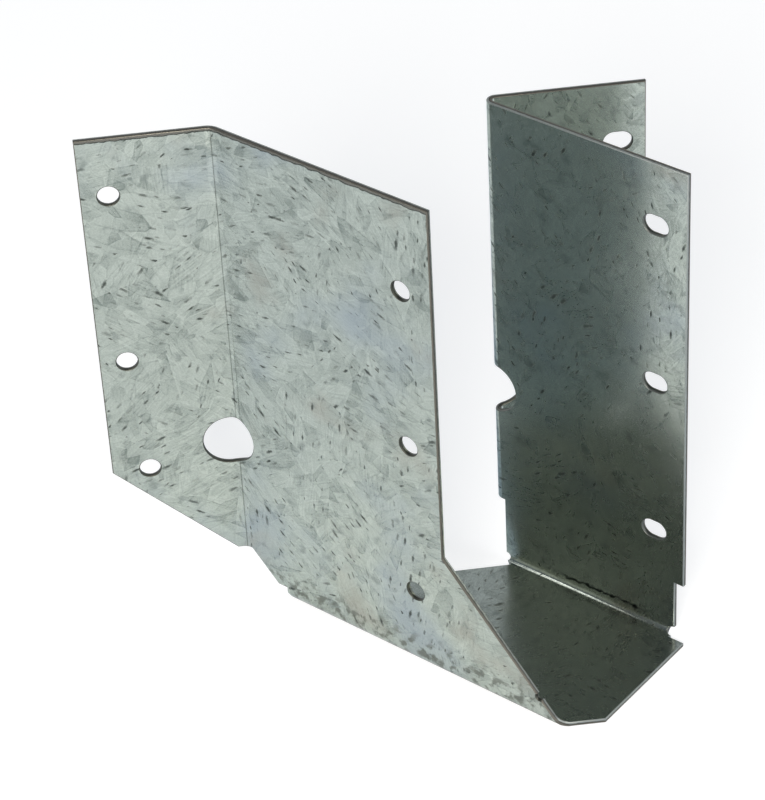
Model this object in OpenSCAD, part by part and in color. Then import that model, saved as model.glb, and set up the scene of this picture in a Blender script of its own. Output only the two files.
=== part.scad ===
// Skewed face-mount joist hanger, folded from one blank of zinc-coated steel sheet.
// The blank is drawn flat, with every hole and bend relief punched in it, and then folded
// zone by zone: seat, two side walls, and a nailing flange at the rear of each wall.
// Frame: header face in the XZ plane, header behind it on +Y, seat underside at Z = 0.

/* [Sheet] */
// Thickness of the coated sheet
sheet_t = 1.2; // [0.8:0.1:3]
// Inside radius of the two bends between the seat and the walls
seat_bend_r = 1.5; // [0.5:0.1:4]
// Inside radius of the shallow bend at the obtuse side
crease_r = 3; // [1:0.1:6]
// Inside radius of the tight fold at the acute side
fold_r = 0.8; // [0.5:0.1:4]

/* [Joist and header] */
// Clear width between the walls, for the joist
joist_gap = 39.7; // [30:0.1:100]
// Angle between the joist and the header, in plan
skew = 45; // [35:1:60]
// Overall height of walls and flanges
hanger_h = 127; // [100:1:250]

/* [Obtuse side] */
// Length of the wall, from the crease to its front edge
ob_wall_l = 58; // [45:0.5:80]
// Width of the flange, from the crease to its outer edge
ob_flange_w = 29.4; // [22:0.1:45]
// Height of the flange's lower outer corner
ob_wing_h = 37; // [25:0.1:60]
// Height of the sheet's lower edge at the crease
ob_heel_h = 11.1; // [8:0.1:20]
// Width of the level piece of that edge, on the flange
ob_heel_w = 1; // [0.5:0.1:8]
// Height of the level edge behind the seat's bend
ob_sole_h = 3.7; // [3:0.1:8]
// Height at which the wall's front edge turns out towards the seat's nose
toe_h = 34.6; // [20:0.1:60]

/* [Acute side] */
// Length of the wall, from the corner of the V to its front edge
ac_wall_l = 52.6; // [40:0.1:80]
// Width of the flange, from the corner of the V to its outer edge
ac_flange_w = 34.8; // [25:0.1:50]
// Height of the flange's lower outer corner
ac_wing_h = 45; // [30:0.1:70]
// Height of the sheet's lower edge at the fold
ac_heel_h = 18.4; // [15:0.1:30]
// Width of the level piece of that edge, on the flange
ac_heel_w = 3; // [1:0.1:8]
// How far the wall's rear edge stands clear of the fold below that height
ac_heel_gap = 0.8; // [0.2:0.1:3]
// How far the foot of the wall's front edge is set back
step_in = 2.4; // [0.5:0.1:5]
// Height of that set-back foot
step_h = 15.8; // [8:0.1:30]

/* [Seat] */
// Distance of the seat's rear edge in front of the flanges
seat_setback = 5.8; // [2:0.1:12]
// How far across the seat its nose runs, along the header, before its front edge
nose_w = 7.95; // [3:0.05:25]
// How far the seat's front edge stands ahead of the acute side's wall
seat_lead = 1.5; // [0.5:0.1:5]
// How far short of its bend that edge ends
seat_lip = 0.4; // [0.1:0.1:1]

/* [Nail holes] */
// Diameter of the round nail holes, and width of the slots
nail_d = 4.8; // [3:0.1:8]
// Length of the nail slots on the acute side
slot_l = 6.4; // [5:0.1:12]
// Height of the lowest joist nail hole on the obtuse side
joist_nail_z = 21.5; // [12:0.1:40]
// Distance of the highest of those holes below the top edge
joist_nail_drop = 22.9; // [15:0.1:40]
// Distance of the joist nail holes behind the wall's front edge
joist_nail_edge = 8; // [6:0.1:15]
// How much higher the acute side's joist nails and bend hole are
side_stagger = 7.5; // [0:0.1:15]
// Height of the lowest header nail hole
header_nail_low = 37.4; // [30:0.1:50]
// Distance of the top header nail hole below the top edge
header_nail_drop = 14.6; // [8:0.1:30]
// Spacing of the upper two header nail holes
header_nail_pitch = 44.3; // [20:0.1:60]
// Distance of the upper two header nail holes from the flange's outer edge
header_nail_edge = 6.2; // [5:0.1:12]
// Distance of the lowest header nail hole from the flange's outer edge
header_low_edge = 8.7; // [5:0.1:14]
// How much higher the lowest header slot of the acute side is
header_low_rise = 8.6; // [0:0.1:15]

/* [Bend holes and reliefs] */
// Diameter of the round hole punched across each upright bend
bend_hole_d = 12.7; // [8:0.1:20]
// Height of that hole on the obtuse side
bend_hole_z = 42.9; // [30:0.1:60]
// How far it lies off the middle of the crease, towards the flange
bend_hole_off = 1.8; // [0:0.1:4]
// Radius of the relief punched at each end of the seat's bends
relief_r = 1.4; // [0.8:0.1:3]
// Height of the round relief in the toe's edge
toe_relief_h = 6.9; // [5:0.1:15]
// Radius of that relief
toe_relief_r = 0.9; // [0.5:0.1:2]
// How far ahead of the seat's rear corner its bend begins on the obtuse side
heel_gap = 0.3; // [0.2:0.1:3]

/* [Hidden] */
$fn = 64;
// sectors in which the hole across the fold is wrapped
fold_sectors = 3;
// how far those sectors lap over each other
sector_lap = 0.5;
// how far a bend's sweep laps into the flats beside it
flat_lap = 4;
// how much thinner the sheet is drawn in a bend
thinning = 0.04;
// how far a bend's ends stay inside the edges of those flats
bend_in = 0.05;
// what a cutter or a clip runs past the sheet
past_sheet = 5;
// a length longer than the blank, for clips
reach = 2 * hanger_h;

// lengths on the blank are set out to a thousandth of a millimetre
function set_out(x) = round(1000 * x) / 1000;
function arc_len(turn, r) = set_out(PI * (r + sheet_t / 2) * turn / 180);

// seat bends, in plan across the joist
bend_top = sheet_t + seat_bend_r;
seat_arc = arc_len(90, seat_bend_r);
v_left = bend_top;
v_right = sheet_t + joist_gap - seat_bend_r;
outer_w = joist_gap + 2 * sheet_t;

// upright bends, along the joist from the crease's corner
crease_s = set_out(crease_r * tan(skew / 2));
crease_arc = arc_len(skew, crease_r);
vee_s = set_out(outer_w / tan(skew));
fold_turn = 180 - skew;
fold_set = set_out(fold_r / tan(skew / 2));
fold_s = vee_s + fold_set;
fold_arc = arc_len(fold_turn, fold_r);
ac_rear_s = fold_s + ac_heel_gap;
ob_rear_s = v_left + seat_setback / sin(skew) + heel_gap;

// front and rear edges
front_s = vee_s + ac_wall_l;
seat_s = front_s + seat_lead;
nose_s = seat_s - nose_w / tan(skew);
nose_reach = nose_s * sin(skew);
rear_s = seat_setback / sin(skew);

// nail holes up the walls and up the flanges
joist_nail_pitch = (hanger_h - joist_nail_drop - joist_nail_z) / 2;
header_nail_top = hanger_h - header_nail_drop;
header_nail_mid = header_nail_top - header_nail_pitch;

// centre of the plan's outline
x_low = -ob_flange_w;
x_high = front_s * cos(skew) + outer_w * sin(skew);
mid_x = (x_low + x_high) / 2;
mid_y = (sheet_t - nose_reach) / 2;

// Flat places of points named by where they end up in the folded hanger
function seat_at(v) = [v / tan(skew), v];
function ob_wall(s, z) = [s, v_left - seat_arc - (z - bend_top)];
function ob_flange(a, z) = [2 * crease_s - crease_arc - a, ob_wall(0, z).y];
function ac_wall(s, z) = [s, v_right + seat_arc + (z - bend_top)];
function ac_flange(a, z) = [fold_s - fold_arc + fold_set - a, ac_wall(0, z).y];

// the nose's edge runs straight on into the toe of the obtuse wall
toe_foot = seat_at(v_left - seat_arc) + [nose_s, 0];
toe_corner = ob_wall(ob_wall_l, toe_h);
toe_share = (toe_relief_h - bend_top) / (toe_h - bend_top);
heel_drop = ob_heel_h - ob_sole_h;

// Outline of the blank, once round from the obtuse wall's upper front corner
module outline() {
    polygon([
        ob_wall(ob_wall_l, hanger_h),
        toe_corner,
        toe_foot,
        [seat_s, nose_w],
        [seat_s, v_right - seat_lip],
        [front_s - step_in, v_right - seat_lip],
        ac_wall(front_s - step_in, step_h),
        ac_wall(front_s, step_h),
        ac_wall(front_s, hanger_h),
        ac_flange(ac_flange_w, hanger_h),
        ac_flange(ac_flange_w, ac_wing_h),
        ac_flange(fold_set + ac_heel_w, ac_heel_h),
        ac_wall(ac_rear_s, ac_heel_h),
        [ac_rear_s, v_right + seat_arc / 2],
        seat_at(v_right - seat_lip) + [rear_s, 0],
        seat_at(v_left) + [rear_s, 0],
        [ob_rear_s, v_left],
        ob_wall(ob_rear_s, ob_sole_h),
        ob_wall(crease_s + heel_drop, ob_sole_h),
        ob_wall(crease_s, ob_heel_h),
        ob_flange(crease_s + ob_heel_w, ob_heel_h),
        ob_flange(ob_flange_w, ob_wing_h),
        ob_flange(ob_flange_w, hanger_h)
    ]);
}

module nail_hole(at) {
    translate(at) circle(d = nail_d);
}

module nail_slot(at) {
    run = slot_l - nail_d;
    translate(at) {
        square([run, nail_d], center = true);
        translate([-run / 2, 0]) circle(d = nail_d);
        translate([run / 2, 0]) circle(d = nail_d);
    }
}

module ob_bend_hole() {
    translate([crease_s - crease_arc / 2 - bend_hole_off, ob_wall(0, bend_hole_z).y])
        circle(d = bend_hole_d);
}

module ac_bend_hole() {
    translate([fold_s - fold_arc / 2, ac_wall(0, bend_hole_z + side_stagger).y])
        circle(d = bend_hole_d);
}

// Everything punched in the obtuse side
module ob_holes() {
    for (i = [0:2])
        nail_hole(ob_wall(ob_wall_l - joist_nail_edge, joist_nail_z + i * joist_nail_pitch));
    nail_hole(ob_flange(ob_flange_w - header_low_edge, header_nail_low));
    nail_hole(ob_flange(ob_flange_w - header_nail_edge, header_nail_mid));
    nail_hole(ob_flange(ob_flange_w - header_nail_edge, header_nail_top));
    ob_bend_hole();
}

// Everything punched in the acute side
module ac_holes() {
    for (i = [0:2])
        nail_slot(ac_wall(front_s - joist_nail_edge,
                          joist_nail_z + side_stagger + i * joist_nail_pitch));
    nail_slot(ac_flange(ac_flange_w - header_low_edge, header_nail_low + header_low_rise));
    nail_slot(ac_flange(ac_flange_w - header_nail_edge, header_nail_mid));
    nail_slot(ac_flange(ac_flange_w - header_nail_edge, header_nail_top));
    ac_bend_hole();
}

// Round reliefs at the ends of the seat's bends and in the toe's edge
module reliefs() {
    translate(toe_foot + toe_share * (toe_corner - toe_foot)) circle(r = toe_relief_r);
    for (at = [
        [ob_rear_s - relief_r / 2, v_left - seat_arc / 2],
        [ac_rear_s, v_right + seat_arc / 2],
        [front_s - step_in, v_right + seat_arc / 2]
    ]) translate(at) circle(r = relief_r);
}

module blank() {
    difference() {
        outline();
        ob_holes();
        ac_holes();
        reliefs();
    }
}

// The part of the blank between two corners
module clip(low, high) {
    intersection() {
        blank();
        translate(low) square(high - low);
    }
}

// A flat zone of the sheet
module panel(low, high) {
    linear_extrude(sheet_t) clip(low, high);
}

// Carries what lies beyond a bend. The line of the bend passes through p, dir is the way
// across it, and the sheet turns to its upper side, or with up = false to its lower side.
module past_bend(p, dir, turn, r, up = true) {
    axis_z = up ? sheet_t + r : -r;
    translate([p.x, p.y, axis_z])
        rotate([0, 0, dir])
            rotate([0, up ? -turn : turn, 0])
                translate([-arc_len(turn, r), 0, -axis_z])
                    rotate([0, 0, -dir])
                        translate([-p.x, -p.y, 0]) children();
}

// The sheet in the bend itself. The line of the bend runs from p, to the left of dir, over
// the length given. The section is swept round the bend's axis and laps into the flats on
// both sides; what is punched there is wrapped round with it in sectors.
module bend(p, dir, turn, r, length, up = true, sectors = 1) {
    half = turn / sectors / 2 + sector_lap;
    far = r + sheet_t + past_sheet;
    translate([p.x, p.y, up ? sheet_t + r : -r])
        rotate([0, 0, dir]) mirror([0, 0, up ? 0 : 1]) difference() {
            rotate([90, 0, 0]) rotate(-90 - flat_lap) rotate_extrude(angle = turn + 2 * flat_lap)
                translate([r + thinning / 2, bend_in - length])
                    square([sheet_t - thinning, length - 2 * bend_in]);
            for (i = [0:sectors - 1]) {
                mid = turn * (i + 0.5) / sectors;
                rotate([0, -mid, 0]) intersection() {
                    rotate([90, 0, 0]) linear_extrude(4 * reach, center = true)
                        polygon([[0, 0], far * [-tan(half), -1], far * [tan(half), -1]]);
                    translate([-arc_len(mid, r), 0, -far]) linear_extrude(far)
                        rotate(-dir) translate(-p) children();
                }
            }
        }
}

// The wall and the flange on the obtuse side
module ob_side() {
    low = v_left - seat_arc;
    bend(ob_wall(crease_s, ob_heel_h), 180, skew, crease_r, hanger_h - ob_heel_h, up = false)
        ob_bend_hole();
    panel([crease_s, -reach], [reach, low]);
    past_bend([crease_s, 0], 180, skew, crease_r, up = false)
        panel([-reach, -reach], [crease_s - crease_arc, low]);
}

// The wall and the flange on the acute side
module ac_side() {
    low = v_right + seat_arc;
    bend(ac_wall(fold_s, hanger_h), 180, fold_turn, fold_r, hanger_h - ac_heel_h,
         up = false, sectors = fold_sectors) ac_bend_hole();
    panel([fold_s, low], [reach, reach]);
    past_bend([fold_s, 0], 180, fold_turn, fold_r, up = false)
        panel([-reach, low], [fold_s - fold_arc, reach]);
}

// The bend at the foot of the obtuse wall, which the seat's nose cuts off aslant
module ob_seat_bend() {
    difference() {
        bend([ob_rear_s, v_left], -90, 90, seat_bend_r, nose_s + v_left - ob_rear_s) reliefs();
        translate([nose_s - bend_in, 0, 0]) rotate([0, 0, 90 - skew])
            translate([0, -reach, -past_sheet]) cube([reach, 2 * reach, reach]);
        translate([toe_foot.x - bend_in, -past_sheet, bend_top - bend_in]) cube(reach);
    }
}

module folded_sheet() {
    panel([0, v_left], [reach, v_right]);
    ob_seat_bend();
    past_bend([0, v_left], -90, 90, seat_bend_r) ob_side();
    bend([front_s - step_in, v_right], 90, 90, seat_bend_r, front_s - step_in - ac_rear_s)
        reliefs();
    past_bend([0, v_right], 90, 90, seat_bend_r) ac_side();
}

module hanger() {
    color([0.62, 0.65, 0.63])
        translate([-mid_x, -mid_y, 0])
            rotate([0, 0, -skew]) folded_sheet();
}

hanger();
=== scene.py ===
"""Looks of a skewed joist hanger that is folded from one blank of zinc-coated steel sheet.

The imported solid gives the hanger's place and its box. The sheet is made again here from the same
sizes: the blank is cut and punched flat, its rims are rolled over as a punch leaves them, and it is
then folded round its bends. Every point keeps its place on the flat blank as the attribute "blank",
so that the crystals of the zinc run on over the bends as they do on a sheet coated before folding.
"""

import logging
import math
from dataclasses import dataclass
from enum import Enum

import bmesh
import bpy
from mathutils import Matrix, Vector


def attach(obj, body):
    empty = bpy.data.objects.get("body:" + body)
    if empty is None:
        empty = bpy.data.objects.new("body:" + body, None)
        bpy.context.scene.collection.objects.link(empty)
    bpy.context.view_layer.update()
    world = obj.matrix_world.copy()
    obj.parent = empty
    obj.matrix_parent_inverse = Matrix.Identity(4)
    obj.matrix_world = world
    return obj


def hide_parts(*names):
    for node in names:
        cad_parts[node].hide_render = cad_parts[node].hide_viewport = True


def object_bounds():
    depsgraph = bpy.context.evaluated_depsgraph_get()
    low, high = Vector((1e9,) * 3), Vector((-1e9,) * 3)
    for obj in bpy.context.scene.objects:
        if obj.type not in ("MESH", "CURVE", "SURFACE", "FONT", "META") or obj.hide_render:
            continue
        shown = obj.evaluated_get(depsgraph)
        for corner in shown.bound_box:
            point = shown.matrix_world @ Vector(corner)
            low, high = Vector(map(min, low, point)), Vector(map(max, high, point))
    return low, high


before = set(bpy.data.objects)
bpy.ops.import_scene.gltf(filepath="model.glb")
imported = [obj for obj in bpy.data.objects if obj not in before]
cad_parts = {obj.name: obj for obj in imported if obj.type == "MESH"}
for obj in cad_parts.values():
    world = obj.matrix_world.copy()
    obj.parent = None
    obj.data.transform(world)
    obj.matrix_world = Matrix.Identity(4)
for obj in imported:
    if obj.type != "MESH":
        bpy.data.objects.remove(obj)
cad_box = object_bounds()

log = logging.getLogger("hanger")

NODE = "hanger"
BODY = "root"
BLANK = "blank"
METRES = 0.001

# The sheet's material slots: its coated faces, its sheared edges and its punched bores
COATED, SHEARED, BORED = range(3)

# Points of the blank that are nearer than this, in millimetres, are one point
SAME_POINT = 1e-4

# How far a face's normal must rise, on the blank, for a coated face and for a quite flat one
COATED_RISE = 0.98
FLAT_RISE = 0.999

# Edges that turn by more degrees than this are shown sharp
SHARP_TURN = 32

# The floor lies this far under the hanger, in metres, so that the two never flicker
FLOOR_GAP = 0.0001

# Sockets of the colour side of a Mix node
MIX_A, MIX_B, MIX_RESULT = 6, 7, 2


def add(
    tree: bpy.types.NodeTree, kind: str, inputs: dict | None = None, **settings: object
) -> bpy.types.Node:
    """Adds a shader node with its settings and links.

    Args:
        tree: The material's or world's nodes.
        kind: The node's type, without its ShaderNode prefix.
        inputs: For each input, by name or number, a value, a socket, or a node whose first
            output feeds it.
        **settings: The node's own options.

    Returns:
        The new node.
    """
    node = tree.nodes.new("ShaderNode" + kind)
    for name, value in settings.items():
        setattr(node, name, value)
    for name, value in (inputs or {}).items():
        if isinstance(value, bpy.types.Node):
            value = value.outputs[0]
        if isinstance(value, bpy.types.NodeSocket):
            tree.links.new(value, node.inputs[name])
        else:
            node.inputs[name].default_value = value
    return node


def empty_material(name: str) -> tuple[bpy.types.Material, bpy.types.NodeTree]:
    """Makes a material that has no nodes yet.

    Args:
        name: What the real material is.

    Returns:
        The material and its node tree.
    """
    material = bpy.data.materials.new(name)
    material.use_nodes = True
    material.node_tree.nodes.clear()
    return material, material.node_tree


def as_object(mesh: bmesh.types.BMesh, name: str) -> bpy.types.Object:
    """Turns a bmesh into an object of the scene, and frees it.

    Args:
        mesh: The mesh, which is gone afterwards.
        name: The object's name.

    Returns:
        The object, at the origin.
    """
    data = bpy.data.meshes.new(name)
    mesh.to_mesh(data)
    mesh.free()
    made = bpy.data.objects.new(name, data)
    bpy.context.scene.collection.objects.link(made)
    return made


def linear(hex_colour: str) -> tuple[float, float, float, float]:
    """Turns an sRGB hex colour into the linear values that a shader takes.

    Args:
        hex_colour: The colour, such as "#C0C5BA".

    Returns:
        Its linear red, green and blue, and an alpha of 1.
    """
    parts = [int(hex_colour[i : i + 2], 16) / 255 for i in (1, 3, 5)]
    turned = [c / 12.92 if c <= 0.04045 else ((c + 0.055) / 1.055) ** 2.4 for c in parts]
    return (turned[0], turned[1], turned[2], 1.0)


class Turning(Enum):
    """The side of the sheet that a bend turns it to."""

    UP = "towards the joist"
    DOWN = "away from the joist"


@dataclass(frozen=True)
class Bend:
    """One brake bend, seen across its line. Lengths are in millimetres.

    Args:
        start: Where the bend begins, measured across it on the blank.
        heading: 1 or -1, the way in which the sheet runs on from there.
        turn: Its angle in degrees.
        radius: Its inside radius.
        turning: The side of the sheet it turns to.
        thickness: Thickness of the sheet.
        facets: The flat strips that stand for its curve.
    """

    start: float
    heading: int
    turn: float
    radius: float
    turning: Turning
    thickness: float
    facets: int

    @property
    def neutral_radius(self) -> float:
        """Radius of the middle of the sheet, whose length the bend doesn't change."""
        return self.radius + self.thickness / 2

    @property
    def arc(self) -> float:
        """Length that the bend takes up on the blank."""
        return self.neutral_radius * math.radians(self.turn)

    @property
    def end(self) -> float:
        """Where the bend ends on the blank."""
        return self.start + self.heading * self.arc

    def lines(self) -> list[float]:
        """Places of the fold lines between the strips, the bend's two limits with them."""
        step = (self.end - self.start) / self.facets
        return [self.start + step * i for i in range(self.facets + 1)]

    def carry(self, across: float, height: float) -> tuple[float, float]:
        """Moves a point as the bend is made.

        Args:
            across: The point's place across the bend line, on the blank.
            height: Its height over the blank's lower face.

        Returns:
            The same two measures once the sheet is bent.
        """
        run = self.heading * (across - self.start)
        if run <= 0:
            return across, height
        angle = min(run, self.arc) / self.neutral_radius
        beyond = max(run - self.arc, 0.0)
        if self.turning is Turning.UP:
            axis = self.thickness + self.radius
            arm = axis - height
            along = arm * math.sin(angle) + beyond * math.cos(angle)
            lifted = axis - arm * math.cos(angle) + beyond * math.sin(angle)
        else:
            arm = self.radius + height
            along = arm * math.sin(angle) + beyond * math.cos(angle)
            lifted = arm * math.cos(angle) - self.radius - beyond * math.sin(angle)
        return self.start + self.heading * along, lifted


@dataclass(frozen=True)
class Punch:
    """A round or slotted hole, or the round end of a relief, in millimetres on the blank."""

    x: float
    y: float
    width: float
    length: float = 0.0
    corners: int = 64

    def holds(self, at: Vector, margin: float) -> bool:
        """Tells whether a point of the blank lies in this hole, or in the margin round it.

        Args:
            at: The point.
            margin: Width of the margin.

        Returns:
            True if it does.
        """
        spread = max(self.length - self.width, 0.0) / 2
        beside = max(abs(at.x - self.x) - spread, 0.0)
        return math.hypot(beside, at.y - self.y) < self.width / 2 + margin

    def cut_into(self, cutters: bmesh.types.BMesh, depth: float) -> None:
        """Adds this punch to the mesh that is taken out of the blank.

        Args:
            cutters: The mesh of all the punches.
            depth: Height of the punch, well over the sheet's thickness.
        """
        half_step = Matrix.Rotation(math.pi / self.corners, 4, "Z")
        made = bmesh.ops.create_cone(
            cutters, cap_ends=True, segments=self.corners, radius1=self.width / 2,
            radius2=self.width / 2, depth=depth, matrix=half_step,
        )
        spread = max(self.length - self.width, 0.0) / 2
        for vert in made["verts"]:
            vert.co.x += math.copysign(spread, vert.co.x)
        bmesh.ops.translate(cutters, verts=made["verts"], vec=(self.x, self.y, 0))


@dataclass
class FoldedSheet:
    """The hanger's one piece of sheet. Lengths are in millimetres and angles in degrees."""

    thickness: float = 1.2
    seat_bend_radius: float = 1.5
    crease_radius: float = 3.0
    fold_radius: float = 0.8
    joist_gap: float = 39.7
    skew: float = 45.0
    height: float = 127.0

    obtuse_wall: float = 58.0
    obtuse_flange: float = 29.4
    obtuse_wing_height: float = 37.0
    obtuse_heel_height: float = 11.1
    obtuse_heel_width: float = 1.0
    obtuse_sole_height: float = 3.7
    toe_height: float = 34.6

    acute_wall: float = 52.6
    acute_flange: float = 34.8
    acute_wing_height: float = 45.0
    acute_heel_height: float = 18.4
    acute_heel_width: float = 3.0
    acute_heel_gap: float = 0.8
    step_depth: float = 2.4
    step_height: float = 15.8

    seat_setback: float = 5.8
    nose_width: float = 7.95
    seat_lead: float = 1.5
    seat_lip: float = 0.4
    heel_gap: float = 0.3

    nail_hole: float = 4.8
    nail_slot: float = 6.4
    joist_nail_height: float = 21.5
    joist_nail_drop: float = 22.9
    joist_nail_edge: float = 8.0
    side_stagger: float = 7.5
    header_nail_low: float = 37.4
    header_nail_drop: float = 14.6
    header_nail_pitch: float = 44.3
    header_nail_edges: tuple[float, float, float] = (8.7, 6.2, 6.2)
    header_low_rise: float = 8.6
    bend_hole: float = 12.7
    bend_hole_height: float = 42.9
    bend_hole_offset: float = 1.8
    bend_hole_corners: int = 128
    relief_radius: float = 1.4
    toe_relief_height: float = 6.9
    toe_relief_radius: float = 0.9

    # How far a punched rim is rolled over
    rim_roll: float = 0.22
    rim_steps: int = 3

    # The flat strips that stand for each bend's curve
    seat_bend_facets: int = 12
    crease_facets: int = 10
    fold_facets: int = 20

    # Where in the seat's bend the nose's edge has its corners
    nose_angles: tuple[float, ...] = (75, 60, 45, 30, 15)

    def __post_init__(self) -> None:
        """Works out the bends and the places that follow from the sizes."""
        t = self.thickness
        slope = math.tan(math.radians(self.skew))
        outer_width = self.joist_gap + 2 * t
        self.bend_top = t + self.seat_bend_radius
        self.obtuse_seat_bend = Bend(
            self.bend_top, -1, 90, self.seat_bend_radius, Turning.UP, t, self.seat_bend_facets
        )
        self.acute_seat_bend = Bend(
            t + self.joist_gap - self.seat_bend_radius, 1, 90, self.seat_bend_radius,
            Turning.UP, t, self.seat_bend_facets,
        )
        setback = self.crease_radius * math.tan(math.radians(self.skew / 2))
        self.crease = Bend(
            setback, -1, self.skew, self.crease_radius, Turning.DOWN, t, self.crease_facets
        )
        self.fold_set = self.fold_radius / math.tan(math.radians(self.skew / 2))
        self.vee = outer_width / slope
        self.fold = Bend(
            self.vee + self.fold_set, -1, 180 - self.skew, self.fold_radius, Turning.DOWN, t,
            self.fold_facets,
        )
        self.acute_rear = self.fold.start + self.acute_heel_gap
        self.wall_front = self.vee + self.acute_wall
        sine = math.sin(math.radians(self.skew))
        self.seat_rear = self.seat_setback / sine
        self.obtuse_rear = self.bend_top + self.seat_rear + self.heel_gap
        self.seat_front = self.wall_front + self.seat_lead
        self.nose = self.seat_front - self.nose_width / slope
        self.joist_nail_pitch = (
            self.height - self.joist_nail_drop - self.joist_nail_height
        ) / 2
        top = self.height - self.header_nail_drop
        self.header_nails = (self.header_nail_low, top - self.header_nail_pitch, top)
        high_x = self.wall_front * math.cos(math.radians(self.skew)) + outer_width * sine
        self.middle = Vector(((high_x - self.obtuse_flange) / 2, (t - self.nose * sine) / 2, 0))

    def obtuse_side(self, along: float, height: float) -> Vector:
        """Place on the blank of a point of the obtuse wall, from its length and height."""
        return Vector((along, self.obtuse_seat_bend.end - (height - self.bend_top)))

    def obtuse_wing(self, out: float, height: float) -> Vector:
        """Place on the blank of a point of the obtuse flange, from its distance out and height."""
        along = 2 * self.crease.start - self.crease.arc - out
        return self.obtuse_side(along, height)

    def acute_side(self, along: float, height: float) -> Vector:
        """Place on the blank of a point of the acute wall, from its length and height."""
        return Vector((along, self.acute_seat_bend.end + (height - self.bend_top)))

    def acute_wing(self, out: float, height: float) -> Vector:
        """Place on the blank of a point of the acute flange, from its distance out and height."""
        return self.acute_side(self.fold.end + self.fold_set - out, height)

    def seat_edge(self, reach: float, across: float) -> Vector:
        """Place on the blank of a point of the seat's edges that run along the header."""
        return Vector((reach + across / math.tan(math.radians(self.skew)), across))

    def nose_over_bend(self, angle: float) -> Vector:
        """Place on the blank of the nose's edge in the seat's bend.

        The edge is trimmed there so that the bent sheet ends flush with the nose.

        Args:
            angle: How far into the bend, in degrees.
        """
        bend, turned = self.obtuse_seat_bend, math.radians(angle)
        across = bend.start - bend.neutral_radius * turned
        folded = bend.start - (bend.radius + bend.thickness) * math.sin(turned)
        return Vector((self.nose + min(across, folded), across))

    def outline(self) -> list[Vector]:
        """Corners of the blank, once round from the obtuse wall's upper front corner."""
        low, high = self.obtuse_seat_bend, self.acute_seat_bend
        lip = high.start - self.seat_lip
        foot = self.wall_front - self.step_depth
        drop = self.obtuse_heel_height - self.obtuse_sole_height
        crease = self.crease.start
        return [
            self.obtuse_side(self.obtuse_wall, self.height),
            self.obtuse_side(self.obtuse_wall, self.toe_height),
            self.seat_edge(self.nose, low.end),
            *[self.nose_over_bend(angle) for angle in self.nose_angles],
            Vector((self.seat_front, self.nose_width)),
            Vector((self.seat_front, lip)),
            Vector((foot, lip)),
            self.acute_side(foot, self.step_height),
            self.acute_side(self.wall_front, self.step_height),
            self.acute_side(self.wall_front, self.height),
            self.acute_wing(self.acute_flange, self.height),
            self.acute_wing(self.acute_flange, self.acute_wing_height),
            self.acute_wing(self.fold_set + self.acute_heel_width, self.acute_heel_height),
            self.acute_side(self.acute_rear, self.acute_heel_height),
            Vector((self.acute_rear, (high.start + high.end) / 2)),
            self.seat_edge(self.seat_rear, lip),
            self.seat_edge(self.seat_rear, low.start),
            Vector((self.obtuse_rear, low.start)),
            self.obtuse_side(self.obtuse_rear, self.obtuse_sole_height),
            self.obtuse_side(crease + drop, self.obtuse_sole_height),
            self.obtuse_side(crease, self.obtuse_heel_height),
            self.obtuse_wing(crease + self.obtuse_heel_width, self.obtuse_heel_height),
            self.obtuse_wing(self.obtuse_flange, self.obtuse_wing_height),
            self.obtuse_wing(self.obtuse_flange, self.height),
        ]

    def punches(self) -> list[Punch]:
        """Every hole and relief that is punched in the blank."""
        made = []
        nail = self.nail_hole
        for i in range(3):
            height = self.joist_nail_height + i * self.joist_nail_pitch
            at = self.obtuse_side(self.obtuse_wall - self.joist_nail_edge, height)
            made.append(Punch(*at, nail))
            at = self.acute_side(
                self.wall_front - self.joist_nail_edge, height + self.side_stagger
            )
            made.append(Punch(*at, nail, self.nail_slot))
            height, edge = self.header_nails[i], self.header_nail_edges[i]
            made.append(Punch(*self.obtuse_wing(self.obtuse_flange - edge, height), nail))
            height += 0 if i else self.header_low_rise
            at = self.acute_wing(self.acute_flange - edge, height)
            made.append(Punch(*at, nail, self.nail_slot))
        middle = (self.crease.start + self.crease.end) / 2 - self.bend_hole_offset
        at = self.obtuse_side(middle, self.bend_hole_height)
        made.append(Punch(*at, self.bend_hole, corners=self.bend_hole_corners))
        middle = (self.fold.start + self.fold.end) / 2
        at = self.acute_side(middle, self.bend_hole_height + self.side_stagger)
        made.append(Punch(*at, self.bend_hole, corners=self.bend_hole_corners))
        low, high, r = self.obtuse_seat_bend, self.acute_seat_bend, self.relief_radius
        low_middle, high_middle = (low.start + low.end) / 2, (high.start + high.end) / 2
        foot = self.wall_front - self.step_depth
        corner, toe = self.outline()[1:3]
        share = (self.toe_relief_height - self.bend_top) / (self.toe_height - self.bend_top)
        made += [
            Punch(self.obtuse_rear - r / 2, low_middle, 2 * r),
            Punch(*toe.lerp(corner, share), 2 * self.toe_relief_radius),
            Punch(self.acute_rear, high_middle, 2 * r),
            Punch(foot, high_middle, 2 * r),
        ]
        return made

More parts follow.
